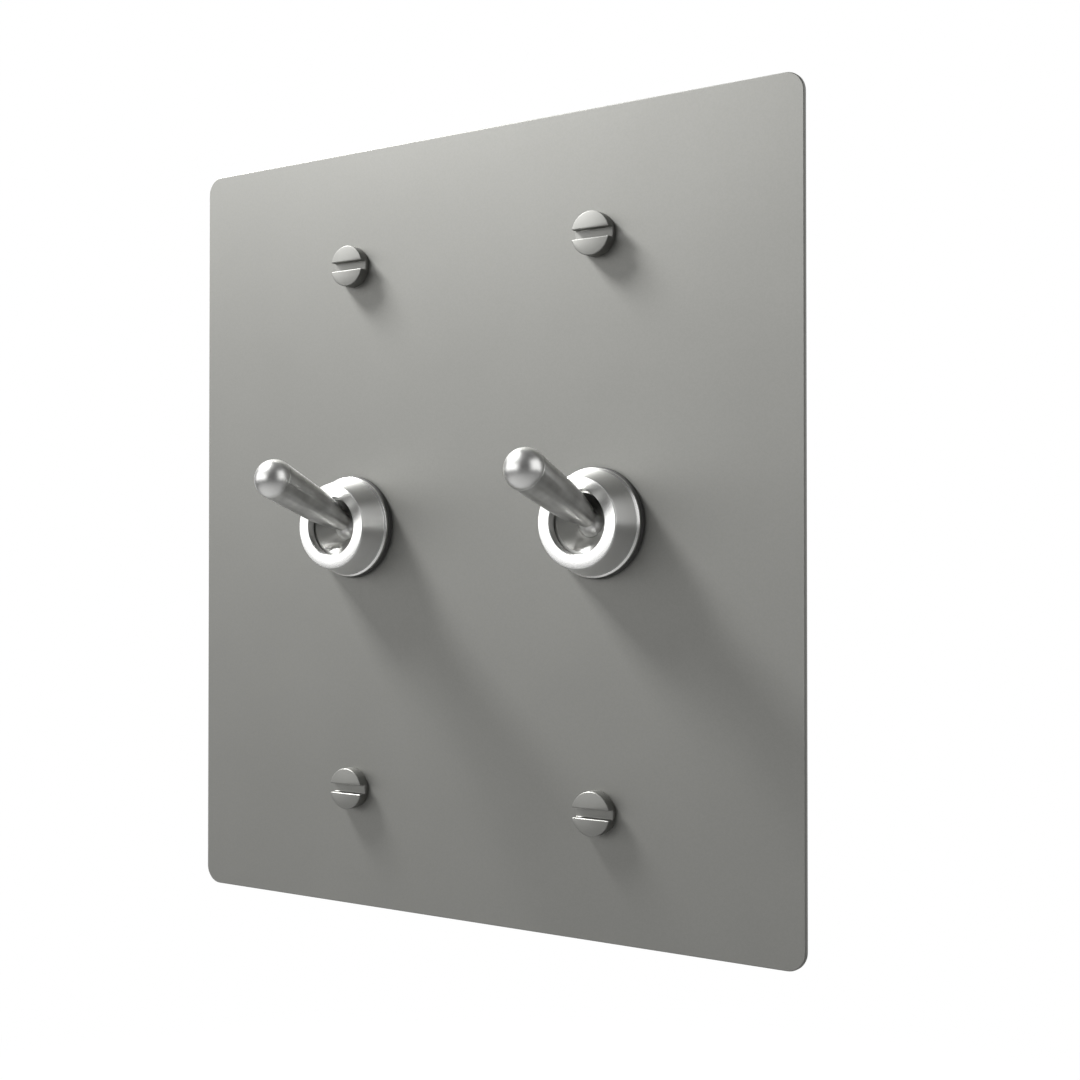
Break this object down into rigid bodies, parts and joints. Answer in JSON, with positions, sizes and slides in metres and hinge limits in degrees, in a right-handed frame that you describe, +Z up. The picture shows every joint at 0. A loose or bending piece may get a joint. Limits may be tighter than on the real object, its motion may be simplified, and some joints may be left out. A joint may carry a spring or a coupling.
{
  "type": "toggle light switch",
  "caption": "Flat steel wall plate with a pair of round-tipped toggle levers in conical collars, slotted screws, and the working switches behind it.",
  "frame": {"origin": "centre of the face plate's back face, midway between the four box screws", "axes": "+Y into the wall, along the box screws; -Y out of the plate's front; +Z up; +X to the right as one faces the switch"},
  "size_m": [0.1112, 0.0521, 0.1204],
  "materials": {
    "plate_steel": "fine brushed, matt",
    "screw_steel": "satin",
    "turned_steel": "turned, bright",
    "lever_steel": "satin, polished at the tip",
    "bushing_metal": "satin",
    "pin_steel": "ground",
    "spring_steel": "drawn wire",
    "plated_steel": "zinc plated",
    "frame_steel": "zinc plated sheet",
    "terminal_steel": "nickel plated",
    "black_fibre": "matt",
    "black_moulding": "moulded, matt",
    "nylon": "natural nylon",
    "contact_copper": "copper strip",
    "brass": "rolled brass",
    "silver": "silver"
  },
  "bodies": {
    "switch_plate": {"face_plate": "plate_steel", "plate_screws": "screw_steel", "collar_left": "turned_steel", "collar_washer_left": "black_fibre", "bushing_left": "bushing_metal", "lever_pin_left": "pin_steel", "lock_washer_left": "plated_steel", "hex_nut_left": "plated_steel", "switch_frame_left": "frame_steel", "housing_left": "black_moulding", "common_terminal_left": "brass", "terminal_rivets_left": "silver", "terminal_screws_left": "terminal_steel", "upper_terminal_left": "brass", "lower_terminal_left": "brass", "collar_right": "turned_steel", "collar_washer_right": "black_fibre", "bushing_right": "bushing_metal", "lever_pin_right": "pin_steel", "lock_washer_right": "plated_steel", "hex_nut_right": "plated_steel", "switch_frame_right": "frame_steel", "housing_right": "black_moulding", "common_terminal_right": "brass", "terminal_rivets_right": "silver", "terminal_screws_right": "terminal_steel", "upper_terminal_right": "brass", "lower_terminal_right": "brass"},
    "lever_left": {"lever_left": "lever_steel", "plunger_spring_left": "spring_steel"},
    "plunger_left": {"plunger_left": "nylon"},
    "rocker_left": {"rocker_left": "contact_copper", "rocker_rivets_left": "silver"},
    "lever_right": {"lever_right": "lever_steel", "plunger_spring_right": "spring_steel"},
    "plunger_right": {"plunger_right": "nylon"},
    "rocker_right": {"rocker_right": "contact_copper", "rocker_rivets_right": "silver"}
  },
  "joints": [
    {"name": "lever_left_swing", "type": "hinge", "parent": "switch_plate", "child": "lever_left", "pos_m": [-0.02302, -0.0013, 0], "axis": [1, 0, 0], "range_deg": [0, 43]},
    {"name": "plunger_left_slide", "type": "slide", "parent": "lever_left", "child": "plunger_left", "axis": [0, 0.9304, -0.3665], "range_m": [-0.0012, 0], "stiffness_N_per_m": 400, "springref_m": 0.003, "deforming": ["plunger_spring_left"]},
    {"name": "rocker_left_rock", "type": "hinge", "parent": "switch_plate", "child": "rocker_left", "pos_m": [-0.02302, 0.01805, 0], "axis": [1, 0, 0], "range_deg": [-16.01, 0]},
    {"name": "lever_right_swing", "type": "hinge", "parent": "switch_plate", "child": "lever_right", "pos_m": [0.02302, -0.0013, 0], "axis": [1, 0, 0], "range_deg": [0, 43]},
    {"name": "plunger_right_slide", "type": "slide", "parent": "lever_right", "child": "plunger_right", "axis": [0, 0.9304, -0.3665], "range_m": [-0.0012, 0], "stiffness_N_per_m": 400, "springref_m": 0.003, "deforming": ["plunger_spring_right"]},
    {"name": "rocker_right_rock", "type": "hinge", "parent": "switch_plate", "child": "rocker_right", "pos_m": [0.02302, 0.01805, 0], "axis": [1, 0, 0], "range_deg": [-16.01, 0]}
  ],
  "couplings": [
    {"joint": "rocker_left_rock", "follows": "lever_left_swing", "ratio": -0.37209},
    {"joint": "rocker_right_rock", "follows": "lever_right_swing", "ratio": -0.37209}
  ]
}
